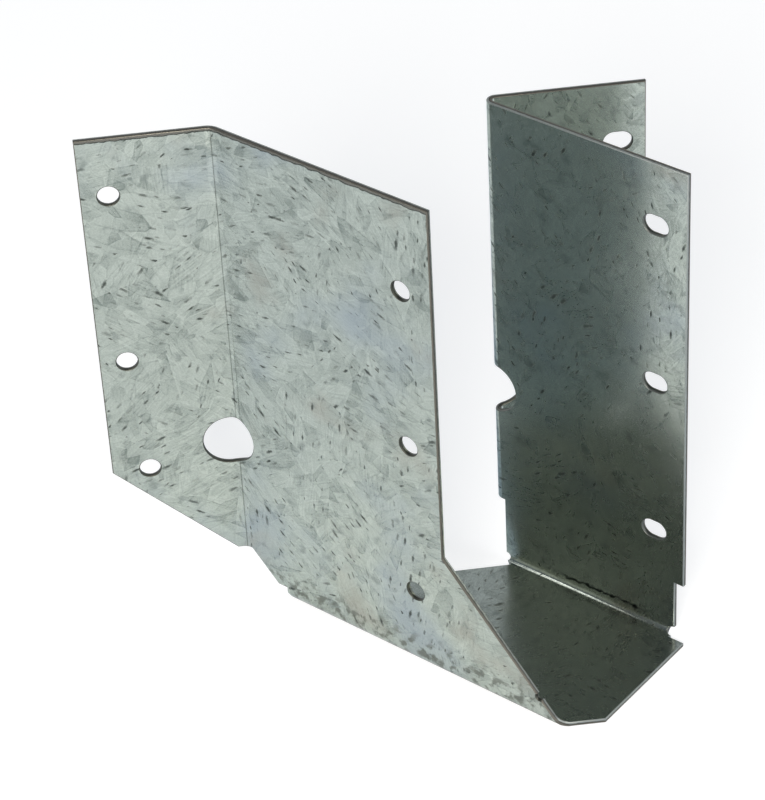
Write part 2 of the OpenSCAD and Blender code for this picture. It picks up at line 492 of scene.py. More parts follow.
    def cut_blank(self) -> bmesh.types.BMesh:
        """Cuts the outline, gives it the sheet's thickness and punches it.

        Returns:
            The flat blank, in millimetres, its lower face at height 0.
        """
        plate = bmesh.new()
        corners = [plate.verts.new((*at, 0)) for at in self.outline()]
        face = plate.faces.new(corners)
        grown = bmesh.ops.extrude_face_region(plate, geom=[face])["geom"]
        top = [g for g in grown if isinstance(g, bmesh.types.BMVert)]
        bmesh.ops.translate(plate, verts=top, vec=(0, 0, self.thickness))
        bmesh.ops.recalc_face_normals(plate, faces=plate.faces)
        cutters = bmesh.new()
        for punch in self.punches():
            punch.cut_into(cutters, 6 * self.thickness)
        blank = as_object(plate, "uncut_blank")
        tools = as_object(cutters, "punches")
        cut = blank.modifiers.new("punch", "BOOLEAN")
        cut.operation, cut.solver, cut.object = "DIFFERENCE", "EXACT", tools
        graph = bpy.context.evaluated_depsgraph_get()
        punched = bmesh.new()
        punched.from_object(blank, graph)
        for spent in (blank, tools):
            bpy.data.objects.remove(spent)
        bmesh.ops.remove_doubles(punched, verts=punched.verts, dist=SAME_POINT)
        return punched

    def roll_rims(self, blank: bmesh.types.BMesh) -> None:
        """Rounds the rims of the outline and the holes a little, on both faces.

        Args:
            blank: The flat blank, punched.
        """
        blank.normal_update()
        # A rim lies between one of the two flat faces and a wall of the cut
        rims = [
            edge
            for edge in blank.edges
            if len(edge.link_faces) == 2
            and abs(abs(edge.link_faces[0].normal.z) - abs(edge.link_faces[1].normal.z)) > 0.5
        ]
        bmesh.ops.bevel(
            blank, geom=rims, offset=self.rim_roll, offset_type="OFFSET", affect="EDGES",
            segments=self.rim_steps, profile=0.5, material=-1, clamp_overlap=False,
        )

    def score(self, blank: bmesh.types.BMesh) -> None:
        """Cuts the blank along the fold lines, so that it can follow its bends.

        Args:
            blank: The flat blank, punched.
        """
        for bend in (self.obtuse_seat_bend, self.acute_seat_bend):
            for line in bend.lines():
                self.cut_along(blank, list(blank.faces), 1, line)
        low, high = self.obtuse_seat_bend.end, self.acute_seat_bend.end
        for line in self.crease.lines():
            side = [f for f in blank.faces if f.calc_center_median().y < low]
            self.cut_along(blank, side, 0, line)
        for line in self.fold.lines():
            side = [f for f in blank.faces if f.calc_center_median().y > high]
            self.cut_along(blank, side, 0, line)

    @staticmethod
    def cut_along(
        blank: bmesh.types.BMesh, faces: list[bmesh.types.BMFace], axis: int, place: float
    ) -> None:
        """Cuts some faces along a line of constant x or y.

        Args:
            blank: The flat blank.
            faces: The faces to cut.
            axis: 0 for a line of constant x, 1 for one of constant y.
            place: The value of x or y.
        """
        edges = {e for f in faces for e in f.edges}
        verts = {v for f in faces for v in f.verts}
        where, across = Vector(), Vector()
        where[axis], across[axis] = place, 1
        bmesh.ops.bisect_plane(
            blank, geom=[*verts, *edges, *faces], dist=SAME_POINT, plane_co=where,
            plane_no=across,
        )

    def folded(self, at: Vector) -> Vector:
        """Folds one point of the flat blank.

        Args:
            at: The point on the blank, in millimetres.

        Returns:
            Its place in the folded hanger, in metres.
        """
        x, y, z = at
        if y < self.obtuse_seat_bend.end:
            x, z = self.crease.carry(x, z)
        elif y > self.acute_seat_bend.end:
            x, z = self.fold.carry(x, z)
        y, z = self.obtuse_seat_bend.carry(y, z)
        y, z = self.acute_seat_bend.carry(y, z)
        turned = Matrix.Rotation(math.radians(-self.skew), 3, "Z") @ Vector((x, y, z))
        return (turned - self.middle) * METRES

    def in_bend(self, at: Vector) -> bool:
        """Tells whether a point of the blank lies in one of the bends.

        Args:
            at: The point.

        Returns:
            True if it does.
        """
        low, high = self.obtuse_seat_bend, self.acute_seat_bend
        if low.end < at.y < low.start or high.start < at.y < high.end:
            return True
        if at.y < low.end:
            return self.crease.end < at.x < self.crease.start
        return at.y > high.end and self.fold.end < at.x < self.fold.start

    def build(self) -> bpy.types.Object:
        """Makes the folded sheet, with each face in its material slot.

        Returns:
            The finished object, at the origin, in metres.
        """
        sheet = self.cut_blank()
        self.roll_rims(sheet)
        self.score(sheet)
        many_sided = [f for f in sheet.faces if len(f.verts) > 4]
        bmesh.ops.triangulate(sheet, faces=many_sided)
        sheet.normal_update()
        punches = self.punches()
        for face in sheet.faces:
            rise = abs(face.normal.z)
            at = face.calc_center_median()
            if any(punch.holds(at, self.rim_roll) for punch in punches):
                face.material_index = BORED
            else:
                face.material_index = SHEARED if rise < COATED_RISE else COATED
            face.smooth = rise < FLAT_RISE or self.in_bend(at)
        flat_place = sheet.verts.layers.float_vector.new(BLANK)
        for vert in sheet.verts:
            vert[flat_place] = vert.co
            vert.co = self.folded(vert.co)
        sheet.normal_update()
        for edge in sheet.edges:
            edge.smooth = edge.calc_face_angle(0.0) < math.radians(SHARP_TURN)
        return as_object(sheet, "folded_sheet")

    def dress(
        self,
        sheet: bpy.types.Object,
        faces: "SpangledZinc",
        edges: "ShearedEdge",
        bores: "ShearedEdge",
    ) -> None:
        """Gives the sheet its finishes, in the order of its material slots.

        Args:
            sheet: The folded sheet.
            faces: Finish of its two coated faces.
            edges: Finish of its sheared edges.
            bores: Finish of its holes and reliefs.
        """
        for finish in (faces, edges, bores):
            sheet.data.materials.append(finish.make(self))


@dataclass(frozen=True)
class Crystals:
    """One layer of zinc crystals: grains, and in each of them shards that all point one way.

    Args:
        grain: Width of a grain in millimetres.
        length: Length of a shard.
        width: Width of a shard.
        offset: Shifts the layer, so that no two are alike.
        patch: How much darker the dull shards are.
        outline: How much the shards' thin borders show.
        feather: How much the fine ribs show in the shards that have them.
        dull_draws: The random draw, 0 to 1, from which a shard is a little and fully dull.
        fade: Where along a shard its dullness starts and is full, in shards' lengths.
        border: Where a border is darkest, in shards, and how wide it is in millimetres.
        border_balance: The random draw at which a border is neither light nor dark.
        ribs: Ribs per millimetre, along and across a shard. They are a few tenths of a
            millimetre wide, which is the finest that still shows.
        feathery_draws: The random draw from which a shard has faint and full ribs.
        least_feather: The ribs' share in a shard that is nearly smooth.
    """

    grain: float
    length: float
    width: float
    offset: float
    patch: float
    outline: float
    feather: float
    dull_draws: tuple[float, float] = (0.45, 0.85)
    fade: tuple[float, float] = (-0.6, 0.5)
    border: tuple[float, float] = (0.02, 0.3)
    border_balance: float = 0.62
    ribs: tuple[float, float] = (0.25, 2.6)
    feathery_draws: tuple[float, float] = (0.35, 0.8)
    least_feather: float = 0.15


@dataclass(frozen=True)
class Cloud:
    """A faint stain that drifts over the sheet.

    Args:
        tint: Its colour.
        width: Its width in millimetres.
        noise: The noise from which it shows a little and fully.
        most: How much it covers at most.
    """

    tint: str
    width: float
    noise: tuple[float, float]
    most: float


@dataclass(frozen=True)
class SpangledZinc:
    """Hot-dip galvanised steel with its spangle, a little weathered.

    The zinc sets in feathery crystals some 5 to 20 mm across, which differ slightly in tone and
    in gloss. It is a soft grey metal with a satin gloss, marked by small dark pits and smudges.
    """

    light: str = "#C0C5BA"
    dark: str = "#788079"
    mark: str = "#383D38"
    # The drained rim's colour, which also paints the shade on the seat bend's underside
    drained: str = "#75726A"
    grime: str = "#62645B"
    dark_line_tint: str = "#1A1D1C"
    roughness: float = 0.25

    # How much rougher the dull crystals are, how much smoother the clear ones, and the pits
    dull_roughness: float = 0.08
    clear_roughness: float = 0.06
    pit_roughness: float = 0.25

    # Tone of the plain coating, 0 dark to 1 light; how much the fine mottle changes it, and the
    # mottle's patches per millimetre
    plain_tone: float = 0.8
    mottle: float = 0.85
    mottle_scale: float = 2.2

    # How far apart the two faces' patterns are for each millimetre of thickness
    face_apart: float = 40.0

    # How far the crystals' sides are bent, in millimetres, and the bends per millimetre
    side_bend: float = 0.35
    side_bend_scale: float = 0.35

    # Distance from pit to pit along and across the crystals, and how far a pit reaches each
    # way, in millimetres; the depth that it shows, in metres
    pit_spacing: tuple[float, float] = (4.4, 2.6)
    pit_reach: tuple[float, float] = (0.8, 0.25)
    pit_depth: float = 0.000024

    # How much the smallest and the largest pits are shrunk; how ragged they are, and the notches
    # per millimetre; where their rims start and end, in reaches; how much they cover
    pit_shrink: tuple[float, float] = (1.5, 0.65)
    pit_ragged: float = 1.8
    pit_ragged_scale: float = 1.3
    pit_rim: tuple[float, float] = (1.2, 2.5)
    pit_most: float = 0.9

    # The random draw from which a pit shows a little and fully; the width of a group of pits, in
    # millimetres, and the noise from which a group starts and is full
    pit_draws: tuple[float, float] = (0.25, 0.75)
    pit_group: float = 9.0
    pit_group_noise: tuple[float, float] = (0.34, 0.56)

    # Ragged borders of the marks at set places, in notches per millimetre
    border_scale: float = 0.42

    # A thin dark line along the middle of the crease: its width and how far it fades, in
    # millimetres
    crease_line: float = 0.32
    crease_line_fade: float = 0.08

    # The drained rim and its dark border: where each starts and ends, in millimetres down from
    # the rim, and how far they wander and fade
    drained_band: tuple[float, float] = (-1.0, 0.75)
    drained_border: tuple[float, float] = (0.6, 0.85)
    drained_wander: float = 1.2
    drained_fade: float = 0.12

    # Grime at the foot: how far it climbs the wall, runs on under it, and fades; its specks per
    # millimetre, the noise from which they start and are full, and how much they cover
    grime_climb: float = 5.0
    grime_under: float = 2.0
    grime_fade: float = 3.0
    grime_scale: float = 0.4
    grime_noise: tuple[float, float] = (0.5, 0.6)
    grime_most: float = 0.8

    # Painted shade on the bend's underside: the part of the bend's arc, how far it fades, how much
    under_shade_part: tuple[float, float] = (0.25, 0.75)
    under_shade_fade: float = 0.2
    under_shade_most: float = 0.8

    # The thin, ragged dark line over the acute bend: its height over the bend, width, wander and
    # fade, then where along the wall its middle is, and how far it runs to each side and fades
    # there
    dark_line_rise: float = 0.8
    dark_line_width: float = 0.7
    dark_line_wander: float = -4.0
    dark_line_fade: float = 0.2
    dark_line_middle: float = 0.56
    dark_line_run: float = 11.5
    dark_line_end_fade: float = 2.5

    layers: tuple[Crystals, ...] = (
        Crystals(grain=17.0, length=11.0, width=4.5, offset=0.0, patch=0.34, outline=0.34,
                 feather=0.8),
        Crystals(grain=9.0, length=5.5, width=2.2, offset=53.0, patch=0.3, outline=0.34,
                 feather=0.7),
    )
    clouds: tuple[Cloud, ...] = (
        Cloud(tint="#9BA4AA", width=34.0, noise=(0.5, 0.75), most=0.7),
        Cloud(tint="#A5A296", width=23.0, noise=(0.56, 0.75), most=0.7),
        Cloud(tint="#7C837D", width=4.5, noise=(0.58, 0.74), most=0.6),
    )

    def make(self, sheet: FoldedSheet) -> bpy.types.Material:
        """Builds the material.

        Args:
            sheet: The sheet it covers, for the places of its bends.

        Returns:
            The material.
        """
        material, tree = empty_material("hot-dip galvanised steel, spangled")
        place = add(tree, "Attribute", attribute_name=BLANK).outputs["Vector"]
        # The two faces are a sheet's thickness apart, which is made far enough for other crystals
        apart = add(
            tree, "VectorMath", {0: place, 1: (1, 1, self.face_apart)}, operation="MULTIPLY"
        )
        # Crystals grow unevenly, so their straight sides are bent a little
        uneven = add(
            tree, "TexNoise", {"Vector": apart, "Scale": self.side_bend_scale, "Detail": 3.0}
        )
        uneven = add(
            tree, "VectorMath", {0: uneven.outputs["Color"], 1: (0.5, 0.5, 0.5)},
            operation="SUBTRACT",
        )
        grown = add(
            tree, "VectorMath", {0: uneven, 1: (self.side_bend, self.side_bend, 0), 2: apart},
            operation="MULTIPLY_ADD",
        )
        tone: bpy.types.Node | float = self.plain_tone
        ways = []
        for layer in self.layers:
            tone, way = self.crystals(tree, grown, layer, tone)
            ways.append(way)
        fine = add(
            tree, "TexNoise",
            {"Vector": apart, "Scale": self.mottle_scale, "Detail": 3.0, "Roughness": 0.7},
        )
        fine = add(tree, "Math", {0: fine, 1: 0.5}, operation="SUBTRACT")
        tone = add(tree, "Math", {0: fine, 1: self.mottle, 2: tone}, operation="MULTIPLY_ADD")
        colour = add(
            tree, "Mix", {0: tone, MIX_A: linear(self.dark), MIX_B: linear(self.light)},
            data_type="RGBA",
        ).outputs[MIX_RESULT]
        colour = self.tinted(tree, apart, colour)
        # The pits follow the larger crystals
        pits = self.pits(tree, ways[0], apart)
        for amount, tint in ((pits, self.mark), *self.stains_and_shade(tree, place, sheet)):
            colour = add(
                tree, "Mix", {0: amount, MIX_A: colour, MIX_B: linear(tint)}, data_type="RGBA"
            ).outputs[MIX_RESULT]
        rough = add(
            tree, "MapRange",
            {0: tone, "To Min": self.roughness + self.dull_roughness,
             "To Max": self.roughness - self.clear_roughness},
        )
        rough = add(
            tree, "Math", {0: pits, 1: self.pit_roughness, 2: rough}, operation="MULTIPLY_ADD"
        )
        bump = add(
            tree, "Bump", {"Height": pits, "Strength": 0.5, "Distance": self.pit_depth},
            invert=True,
        )
        shader = add(
            tree, "BsdfPrincipled",
            {"Base Color": colour, "Roughness": rough, "Metallic": 1.0, "Normal": bump},
        )
        add(tree, "OutputMaterial", {"Surface": shader})
        return material

    def crystals(
        self,
        tree: bpy.types.NodeTree,
        place: bpy.types.Node,
        layer: Crystals,
        tone: bpy.types.Node | float,
    ) -> tuple[bpy.types.Node, bpy.types.Node]:
        """Adds one layer of crystals to the tone.

        Args:
            tree: The material's nodes.
            place: Place on the blank in millimetres.
            layer: The layer's sizes.
            tone: The tone so far, 0 to 1.

        Returns:
            The new tone, and the place turned to the way each grain points.
        """
        shifted = add(
            tree, "VectorMath", {0: place, 1: (layer.offset,) * 3}, operation="ADD"
        )
        grains = add(tree, "TexVoronoi", {"Vector": shifted, "Scale": 1 / layer.grain})
        pick = add(tree, "SeparateColor", {0: grains.outputs["Color"]}).outputs
        angle = add(tree, "Math", {0: pick["Red"], 1: 2 * math.pi}, operation="MULTIPLY")
        way = add(
            tree, "VectorRotate", {"Vector": shifted, "Angle": angle}, rotation_type="Z_AXIS"
        )
        drawn = add(
            tree, "VectorMath", {0: way, 1: (1 / layer.length, 1 / layer.width, 1)},
            operation="MULTIPLY",
        )
        shard = add(tree, "TexVoronoi", {"Vector": drawn, "Scale": 1.0})
        kind = add(tree, "SeparateColor", {0: shard.outputs["Color"]}).outputs
        # A dull shard is sharp at one end and fades towards the other
        within = add(
            tree, "VectorMath", {0: drawn, 1: shard.outputs["Position"]}, operation="SUBTRACT"
        )
        along = add(tree, "SeparateXYZ", {0: within}).outputs["X"]
        start, full = layer.fade
        fade = add(tree, "MapRange", {0: along, "From Min": start, "From Max": full})
        start, full = layer.dull_draws
        dull = add(tree, "MapRange", {0: kind["Red"], "From Min": start, "From Max": full})
        dull = add(tree, "Math", {0: dull, 1: fade}, operation="MULTIPLY")
        tone = add(
            tree, "Math", {0: dull, 1: -layer.patch, 2: tone}, operation="MULTIPLY_ADD"
        )
        border = add(
            tree, "TexVoronoi", {"Vector": drawn, "Scale": 1.0}, feature="DISTANCE_TO_EDGE"
        ).outputs["Distance"]
        heart, wide = layer.border
        border = add(
            tree, "MapRange",
            {0: border, "From Min": heart, "From Max": wide / layer.width,
             "To Min": layer.outline, "To Max": 0.0},
        )
        bright = add(
            tree, "Math", {0: kind["Green"], 1: layer.border_balance}, operation="SUBTRACT"
        )
        tone = add(tree, "Math", {0: border, 1: bright, 2: tone}, operation="MULTIPLY_ADD")
        ribbed = add(tree, "VectorMath", {0: way, 1: (*layer.ribs, 1)}, operation="MULTIPLY")
        ribs = add(tree, "TexNoise", {"Vector": ribbed, "Scale": 1.0, "Detail": 2.0})
        ribs = add(tree, "Math", {0: ribs, 1: 0.5}, operation="SUBTRACT")
        start, full = layer.feathery_draws
        feathery = add(
            tree, "MapRange",
            {0: kind["Blue"], "From Min": start, "From Max": full,
             "To Min": layer.least_feather * layer.feather, "To Max": layer.feather},
        )
        tone = add(tree, "Math", {0: ribs, 1: feathery, 2: tone}, operation="MULTIPLY_ADD")
        return tone, way

    def tinted(
        self, tree: bpy.types.NodeTree, place: bpy.types.Node, colour: bpy.types.NodeSocket
    ) -> bpy.types.NodeSocket:
        """Adds the faint bluish and brownish clouds of weathered zinc, and small grey smudges.

        Args:
            tree: The material's nodes.
            place: Place on the blank in millimetres.
            colour: The colour so far.

        Returns:
            The tinted colour.
        """
        for cloud in self.clouds:
            noise = add(
                tree, "TexNoise", {"Vector": place, "Scale": 1 / cloud.width, "Detail": 4.0}
            )
            low, high = cloud.noise
            amount = add(
                tree, "MapRange",
                {0: noise, "From Min": low, "From Max": high, "To Min": 0.0,
                 "To Max": cloud.most},
                interpolation_type="SMOOTHSTEP",
            )
            colour = add(
                tree, "Mix", {0: amount, MIX_A: colour, MIX_B: linear(cloud.tint)},
                data_type="RGBA",
            ).outputs[MIX_RESULT]
        return colour

    def pits(
        self, tree: bpy.types.NodeTree, way: bpy.types.Node, place: bpy.types.Node
    ) -> bpy.types.Node:
        """Adds small dark pits, about 0.4 by 1.3 mm, in loose groups that follow the crystals.

        Args:
            tree: The material's nodes.
            way: The place turned to the way each grain points.
            place: Place on the blank in millimetres.

        Returns:
            How much a pit covers, 0 to 1.
        """
        along, across = self.pit_spacing
        drawn = add(
            tree, "VectorMath", {0: way, 1: (1 / along, 1 / across, 1)}, operation="MULTIPLY"
        )
        cell = add(tree, "TexVoronoi", {"Vector": drawn, "Scale": 1.0})
        pick = add(tree, "SeparateColor", {0: cell.outputs["Color"]}).outputs
        away = add(
            tree, "VectorMath", {0: drawn, 1: cell.outputs["Position"]}, operation="SUBTRACT"
        )
        reach = (along / self.pit_reach[0], across / self.pit_reach[1], 0)
        sized = add(tree, "VectorMath", {0: away, 1: reach}, operation="MULTIPLY")
        far = add(tree, "VectorMath", {0: sized}, operation="LENGTH").outputs["Value"]
        most, least = self.pit_shrink
        size = add(tree, "MapRange", {0: pick["Blue"], "To Min": most, "To Max": least})
        far = add(tree, "Math", {0: far, 1: size}, operation="MULTIPLY")
        ragged = add(
            tree, "TexNoise", {"Vector": place, "Scale": self.pit_ragged_scale, "Detail": 3.0}
        )
        far = add(
            tree, "Math", {0: ragged, 1: self.pit_ragged, 2: far}, operation="MULTIPLY_ADD"
        )
        inside, outside = self.pit_rim
        spot = add(
            tree, "MapRange",
            {0: far, "From Min": inside, "From Max": outside, "To Min": self.pit_most,
             "To Max": 0.0},
            interpolation_type="SMOOTHSTEP",
        )
        start, full = self.pit_draws
        kept = add(tree, "MapRange", {0: pick["Green"], "From Min": start, "From Max": full})
        groups = add(
            tree, "TexNoise", {"Vector": place, "Scale": 1 / self.pit_group, "Detail": 2.0}
        )
        start, full = self.pit_group_noise
        grouped = add(
            tree, "MapRange", {0: groups, "From Min": start, "From Max": full},
            interpolation_type="SMOOTHSTEP",
        )
        kept = add(tree, "Math", {0: kept, 1: grouped}, operation="MULTIPLY")
        return add(tree, "Math", {0: spot, 1: kept}, operation="MULTIPLY")

    def stains_and_shade(
        self, tree: bpy.types.NodeTree, place: bpy.types.NodeSocket, sheet: FoldedSheet
    ) -> list[tuple[bpy.types.Node, str]]:
        """Finds the marks that lie at set places, where the sheet was folded, cut or dipped, and
        the painted shade on the seat bend's underside.

        Args:
            tree: The material's nodes.
            place: Place on the blank in millimetres.
            sheet: The sheet, for the places of its bends and rims.

        Returns:
            For each mark, how much it covers and its colour.
        """
        parts = add(tree, "SeparateXYZ", {0: place}).outputs
        x, y = parts["X"], parts["Y"]
        outer = add(
            tree, "Math", {0: parts["Z"], 1: sheet.thickness / 2}, operation="LESS_THAN"
        )
        inner = add(tree, "Math", {0: 1.0, 1: outer}, operation="SUBTRACT")
        ragged = add(
            tree, "TexNoise", {"Vector": place, "Scale": self.border_scale, "Detail": 4.0}
        )
        wander = add(tree, "Math", {0: ragged, 1: 0.5}, operation="SUBTRACT")
        low, high = sheet.obtuse_seat_bend, sheet.acute_seat_bend

        # A thin dark line along the middle of the outside of the bend beside the flange
        crease = (sheet.crease.start + sheet.crease.end) / 2
        half = self.crease_line / 2
        line = self.strip(tree, x, crease - half, crease + half, self.crease_line_fade)
        wall = add(tree, "Math", {0: y, 1: low.end}, operation="LESS_THAN")
        for limit in (wall, ragged, outer):
            line = add(tree, "Math", {0: line, 1: limit}, operation="MULTIPLY")
        marks = [(line, self.mark)]

        # The rim that drained last: a dull band with a ragged dark border below it
        rim = sheet.obtuse_side(0, sheet.height).y
        drained = add(
            tree, "Math", {0: wander, 1: self.drained_wander, 2: y}, operation="MULTIPLY_ADD"
        )
        bands = ((self.drained_band, self.drained), (self.drained_border, self.mark))
        for (start, end), tint in bands:
            band = self.strip(tree, drained, rim + start, rim + end, self.drained_fade)
            band = add(tree, "Math", {0: band, 1: outer}, operation="MULTIPLY")
            marks.append((band, tint))

        # Grime along the foot of the obtuse wall, and painted shade on the underside of its bend
        specks = add(
            tree, "TexNoise", {"Vector": place, "Scale": self.grime_scale, "Detail": 6.0}
        )
        start, full = self.grime_noise
        specks = add(
            tree, "MapRange",
            {0: specks, "From Min": start, "From Max": full, "To Max": self.grime_most},
        )
        foot = self.strip(
            tree, y, low.end - self.grime_climb, low.end + self.grime_under, self.grime_fade
        )
        foot = add(tree, "Math", {0: foot, 1: specks}, operation="MULTIPLY")
        start, end = (low.end + part * low.arc for part in self.under_shade_part)
        under = self.strip(tree, y, start, end, self.under_shade_fade)
        under = add(tree, "Math", {0: under, 1: self.under_shade_most}, operation="MULTIPLY")
        # The underside's band is painted shade, in the drained rim's colour
        for amount, tint in ((foot, self.grime), (under, self.drained)):
            amount = add(tree, "Math", {0: amount, 1: outer}, operation="MULTIPLY")
            marks.append((amount, tint))

        # A thin, ragged, near-black line over the bend at the acute wall's foot, on the inner face
        level, half = high.end + self.dark_line_rise, self.dark_line_width / 2
        dark_line = add(
            tree, "Math", {0: wander, 1: self.dark_line_wander, 2: y}, operation="MULTIPLY_ADD"
        )
        dark_line = self.strip(tree, dark_line, level - half, level + half, self.dark_line_fade)
        heart = sheet.acute_rear + self.dark_line_middle * (sheet.wall_front - sheet.acute_rear)
        reach = self.strip(
            tree, x, heart - self.dark_line_run, heart + self.dark_line_run, self.dark_line_end_fade
        )
        for limit in (reach, inner):
            dark_line = add(tree, "Math", {0: dark_line, 1: limit}, operation="MULTIPLY")
        marks.append((dark_line, self.dark_line_tint))
        return marks

    @staticmethod
    def strip(
        tree: bpy.types.NodeTree,
        measure: bpy.types.Node | bpy.types.NodeSocket,
        start: float,
        end: float,
        soft: float,
    ) -> bpy.types.Node:
        """Marks the strip of the sheet where a measure lies between two values.

        Args:
            tree: The material's nodes.
            measure: The measure, in millimetres.
            start: Where the strip starts.
            end: Where it ends.
            soft: How far its borders fade, to each side.

        Returns:
            1 in the strip and 0 outside it.
        """
        middle, half = (start + end) / 2, (end - start) / 2
        off = add(tree, "Math", {0: measure, 1: middle}, operation="SUBTRACT")
        off = add(tree, "Math", {0: off}, operation="ABSOLUTE")
        return add(
            tree, "MapRange",
            {0: off, "From Min": half - soft, "From Max": half + soft, "To Min": 1.0,
             "To Max": 0.0},
            interpolation_type="SMOOTHSTEP",
        )


@dataclass(frozen=True)
class ShearedEdge:
    """Cut edge of zinc-coated sheet, as the shear and the punch leave it.

    Near one face the edge is burnished and carries smeared zinc; then comes a dark, ragged line
    where the steel tore, and a duller grey break beyond it.
    """

    name: str
    burnished: str
    torn: str
    broken: str

    # Roughness of the shiniest and the dullest spots
    roughness: tuple[float, float] = (0.36, 0.61)

    # Shares of the thickness: where the break starts, how far it fades into the burnished band
    # to each side, the torn line's heart and border, and how ragged all of it is
    tear_at: float = 0.66
    break_fade: float = 0.06
    tear_fade: tuple[float, float] = (0.03, 0.12)
    ragged: float = 0.3

    # How much the torn line covers at most
    tear_most: float = 0.9

    # Notches of the torn line, and score marks, per millimetre; the marks' depth in metres
    ragged_scale: float = 0.9
    score_scale: float = 3.5
    score_depth: float = 0.00008

    def make(self, sheet: FoldedSheet) -> bpy.types.Material:
        """Builds the material.

        Args:
            sheet: The sheet whose edge it is, for its thickness.

        Returns:
            The material.
        """
        material, tree = empty_material(self.name)
        place = add(tree, "Attribute", attribute_name=BLANK).outputs["Vector"]
        parts = add(tree, "SeparateXYZ", {0: place})
        ragged = add(
            tree, "TexNoise", {"Vector": place, "Scale": self.ragged_scale, "Detail": 4.0}
        )
        depth = add(
            tree, "Math", {0: parts.outputs["Z"], 1: 1 / sheet.thickness}, operation="MULTIPLY"
        )
        depth = add(
            tree, "Math", {0: ragged, 1: self.ragged, 2: depth}, operation="MULTIPLY_ADD"
        )
        past = add(
            tree, "MapRange",
            {0: depth, "From Min": self.tear_at - self.break_fade,
             "From Max": self.tear_at + self.break_fade},
            interpolation_type="SMOOTHSTEP",
        )
        colour = add(
            tree, "Mix", {0: past, MIX_A: linear(self.burnished), MIX_B: linear(self.broken)},
            data_type="RGBA",
        ).outputs[MIX_RESULT]
        off = add(tree, "Math", {0: depth, 1: self.tear_at}, operation="SUBTRACT")
        off = add(tree, "Math", {0: off}, operation="ABSOLUTE")
        inside, outside = self.tear_fade
        tear = add(
            tree, "MapRange",
            {0: off, "From Min": inside, "From Max": outside, "To Min": self.tear_most,
             "To Max": 0.0},
            interpolation_type="SMOOTHSTEP",
        )
        colour = add(
            tree, "Mix", {0: tear, MIX_A: colour, MIX_B: linear(self.torn)}, data_type="RGBA"
        ).outputs[MIX_RESULT]
        fine = add(tree, "TexNoise", {"Vector": place, "Scale": self.score_scale, "Detail": 2.0})
        shiny, dull = self.roughness
        rough = add(tree, "MapRange", {0: fine, "To Min": shiny, "To Max": dull})
        bump = add(
            tree, "Bump", {"Height": fine, "Strength": 0.4, "Distance": self.score_depth}
        )
        shader = add(
            tree, "BsdfPrincipled",
            {"Base Color": colour, "Roughness": rough, "Metallic": 1.0, "Normal": bump},
        )
        add(tree, "OutputMaterial", {"Surface": shader})
        return material


@dataclass(frozen=True)
class Lamp:
    """One soft lamp: where it hangs, in metres, its side, its power in watts and its colour."""

    name: str
    at: tuple[float, float, float]
    side: float
    power: float
    colour: str = "#FFFFFF"


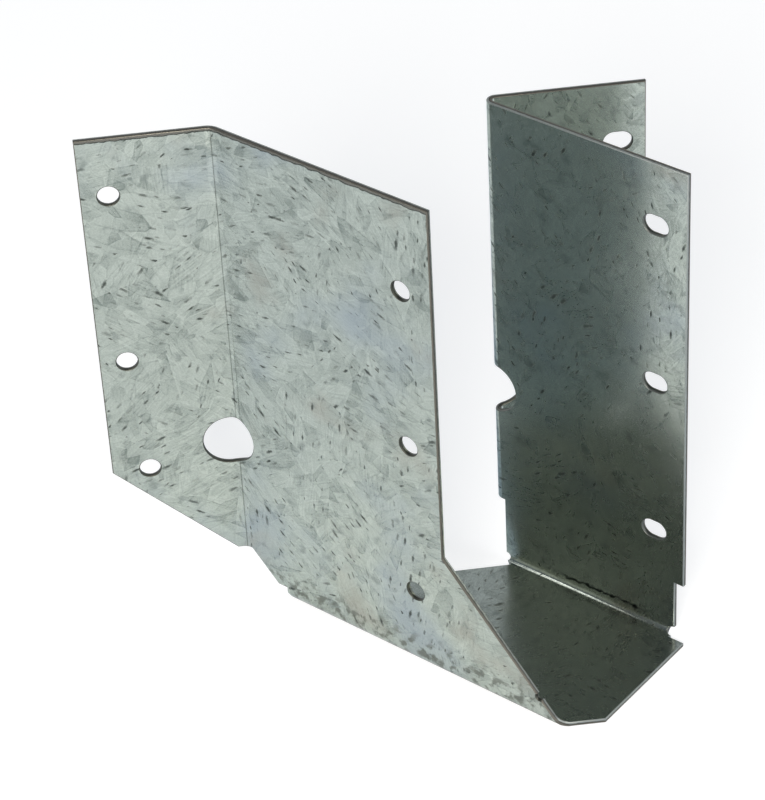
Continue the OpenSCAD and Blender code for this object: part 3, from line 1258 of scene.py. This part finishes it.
@dataclass
class Studio:
    """Pale floor, white surround and soft lamps.

    Args:
        floor_side: Side of the floor, in metres.
        floor_grey: The floor's own brightness, for the light that it throws on the hanger.
        lift: Its glow as the camera sees it.
        mirrored_lift: Its glow as metal and glass show it.
        share: What the camera sees of the light and the shadow on it.
        surround: Strength of the light from the white walls.
        overhead: What is left of it overhead.
        sweep: How much further up the white reaches behind the hanger.
        fade: The heights, as sines of an elevation, between which it fades.
        fill: Colour of the light overhead and in the shadows.
        lamps: The lamps.
    """

    floor_side: float = 12.0
    floor_grey: float = 0.9
    lift: float = 0.76
    mirrored_lift: float = 0.26
    share: float = 0.34
    surround: float = 0.75
    overhead: float = 0.12
    sweep: float = 0.35
    fade: tuple[float, float] = (0.1, 0.7)
    fill: str = "#A4C6E6"
    lamps: tuple[Lamp, ...] = (
        Lamp("key_lamp", (-0.4, -1.4, 1.0), 0.5, 36.0, "#FFFAF3"),
        Lamp("top_lamp", (-0.55, 0.5, 1.4), 0.4, 1.6),
        Lamp("side_lamp", (1.3, -0.9, 0.8), 0.5, 8.0),
    )

    def build(self, floor_level: float, target: Vector) -> None:
        """Builds the floor, the surround and the lamps.

        Args:
            floor_level: Height of the floor, in metres.
            target: The point that the lamps face.
        """
        self.build_floor(floor_level)
        self.build_surround()
        for lamp in self.lamps:
            data = bpy.data.lights.new(lamp.name, "AREA")
            data.shape, data.size, data.energy = "SQUARE", lamp.side, lamp.power
            data.color = linear(lamp.colour)[:3]
            made = bpy.data.objects.new(lamp.name, data)
            made.location = lamp.at
            aim = target - Vector(lamp.at)
            made.rotation_euler = aim.to_track_quat("-Z", "Y").to_euler()
            bpy.context.scene.collection.objects.link(made)

    @staticmethod
    def seen(tree: bpy.types.NodeTree) -> bpy.types.Node:
        """Marks the rays from the camera, and those that metal or glass sends on.

        Args:
            tree: The nodes of the floor or the surround.

        Returns:
            1 for such a ray and 0 for any other.
        """
        path = add(tree, "LightPath").outputs
        direct = add(
            tree, "Math", {0: path["Is Camera Ray"], 1: path["Is Glossy Ray"]}, operation="MAXIMUM"
        )
        return add(
            tree, "Math", {0: direct, 1: path["Is Transmission Ray"]}, operation="MAXIMUM"
        )

    def build_floor(self, level: float) -> None:
        """Lays the floor, white to the camera and in the metal, with the hanger's shadow on it.

        Args:
            level: Its height, in metres.
        """
        shape = bmesh.new()
        bmesh.ops.create_grid(shape, x_segments=1, y_segments=1, size=self.floor_side / 2)
        bmesh.ops.translate(shape, verts=shape.verts, vec=(0, 0, level))
        floor = as_object(shape, "floor")
        # Matt paper, which takes soft shadows and shows no gloss
        material, tree = empty_material("matt white paper sweep")
        lit = add(tree, "BsdfDiffuse", {"Color": (self.floor_grey,) * 3 + (1,)})
        pale = add(tree, "BsdfDiffuse", {"Color": (self.share,) * 3 + (1,)})
        glow = add(tree, "Emission", {"Color": (1, 1, 1, 1), "Strength": self.lift})
        white = add(tree, "AddShader", {0: pale, 1: glow})
        # Metal and glass show the white floor too, but keep most of the shadow that lies on it
        strength = add(
            tree, "MapRange", {0: self.seen(tree), "To Min": 0.0, "To Max": self.mirrored_lift}
        )
        mirrored = add(tree, "Emission", {"Color": linear(self.fill), "Strength": strength})
        lit = add(tree, "AddShader", {0: lit, 1: mirrored})
        camera = add(tree, "LightPath").outputs["Is Camera Ray"]
        both = add(tree, "MixShader", {0: camera, 1: lit, 2: white})
        add(tree, "OutputMaterial", {"Surface": both})
        floor.data.materials.append(material)

    def build_surround(self) -> None:
        """Fills the studio with even light from white walls, which fades towards the ceiling."""
        world = bpy.data.worlds.new("white surround")
        bpy.context.scene.world = world
        world.use_nodes = True
        tree = world.node_tree
        tree.nodes.clear()
        way = add(tree, "TexCoord").outputs["Generated"]
        parts = add(tree, "SeparateXYZ", {0: way})
        # The white sweep climbs behind the hanger, so it is darker above and behind the camera
        rise = add(
            tree, "Math", {0: parts.outputs["Y"], 1: -self.sweep, 2: parts.outputs["Z"]},
            operation="MULTIPLY_ADD",
        )
        start, end = self.fade
        overhead = add(
            tree, "MapRange",
            {0: rise, "From Min": start, "From Max": end, "To Min": 1.0,
             "To Max": self.overhead},
            interpolation_type="SMOOTHSTEP",
        )
        strength = add(
            tree, "MapRange", {0: self.seen(tree), "To Min": self.surround, "To Max": 1.0}
        )
        strength = add(tree, "Math", {0: strength, 1: overhead}, operation="MULTIPLY")
        # The fill is a little blue: what lights the floor's shadows, and what is overhead
        near_white = add(tree, "Math", {0: self.seen(tree), 1: overhead}, operation="MULTIPLY")
        tint = add(
            tree, "Mix", {0: near_white, MIX_A: linear(self.fill), MIX_B: (1, 1, 1, 1)},
            data_type="RGBA",
        ).outputs[MIX_RESULT]
        light = add(tree, "Background", {"Color": tint, "Strength": strength})
        add(tree, "OutputWorld", {"Surface": light})


@dataclass
class Viewpoint:
    """The camera. Angles in degrees, lengths in metres, the lens and the sensor in millimetres.

    Args:
        place: Where the camera stands, in the row frame.
        azimuth: The way it looks in plan; 0 looks square at the header face.
        elevation: How far it looks down.
        roll: How far it is rolled about its own axis.
        lens: Focal length.
        shift: How far the picture is shifted across and up, as a share of its height.
        sensor: Longer side of the sensor, which goes with the longer side of the picture.
        clip: The nearest and the farthest that it sees.
    """

    place: tuple[float, float, float] = (-0.054345, -0.564914, 0.500882)
    azimuth: float = -4.58
    elevation: float = 37.14
    roll: float = -3.65
    lens: float = 147.72
    shift: tuple[float, float] = (0.0352, 0.0082)
    sensor: float = 36.0
    clip: tuple[float, float] = (0.02, 50.0)

    def build(self) -> None:
        """Makes the camera and puts it in the scene."""
        data = bpy.data.cameras.new("camera")
        data.sensor_width, data.lens = self.sensor, self.lens
        data.shift_x, data.shift_y = self.shift
        data.clip_start, data.clip_end = self.clip
        camera = bpy.data.objects.new("camera", data)
        a, e = math.radians(self.azimuth), math.radians(self.elevation)
        ahead = Vector((-math.sin(a) * math.cos(e), math.cos(a) * math.cos(e), -math.sin(e)))
        level = ahead.to_track_quat("-Z", "Y").to_matrix()
        tilted = level @ Matrix.Rotation(math.radians(self.roll), 3, "Z")
        camera.matrix_world = Matrix.Translation(self.place) @ tilted.to_4x4()
        bpy.context.scene.collection.objects.link(camera)
        bpy.context.scene.camera = camera


def main() -> None:
    """Builds the hanger's looks, the studio and the camera, in that order."""
    logging.basicConfig(level=logging.INFO, format="%(message)s")
    hanger = FoldedSheet()
    sheet = hanger.build()
    hanger.dress(
        sheet,
        SpangledZinc(),
        ShearedEdge("sheared edge of galvanised sheet", "#6A675F", "#2C2C28", "#989C98"),
        # The bores take darker tones than the sheared edge throughout
        ShearedEdge("punched bore, darker than the sheared edge", "#55564F", "#23241F", "#6E716C"),
    )
    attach(sheet, BODY)
    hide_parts(NODE)
    log.info("%s: %d faces", sheet.name, len(sheet.data.polygons))
    low, high = cad_box
    Studio().build(low.z - FLOOR_GAP, (low + high) / 2)
    log.info("studio: floor, surround and lamps")
    Viewpoint().build()
    log.info("camera")
    bpy.context.scene.view_settings.view_transform = "Standard"
    bpy.context.view_layer.update()


if __name__ == "__main__":
    main()
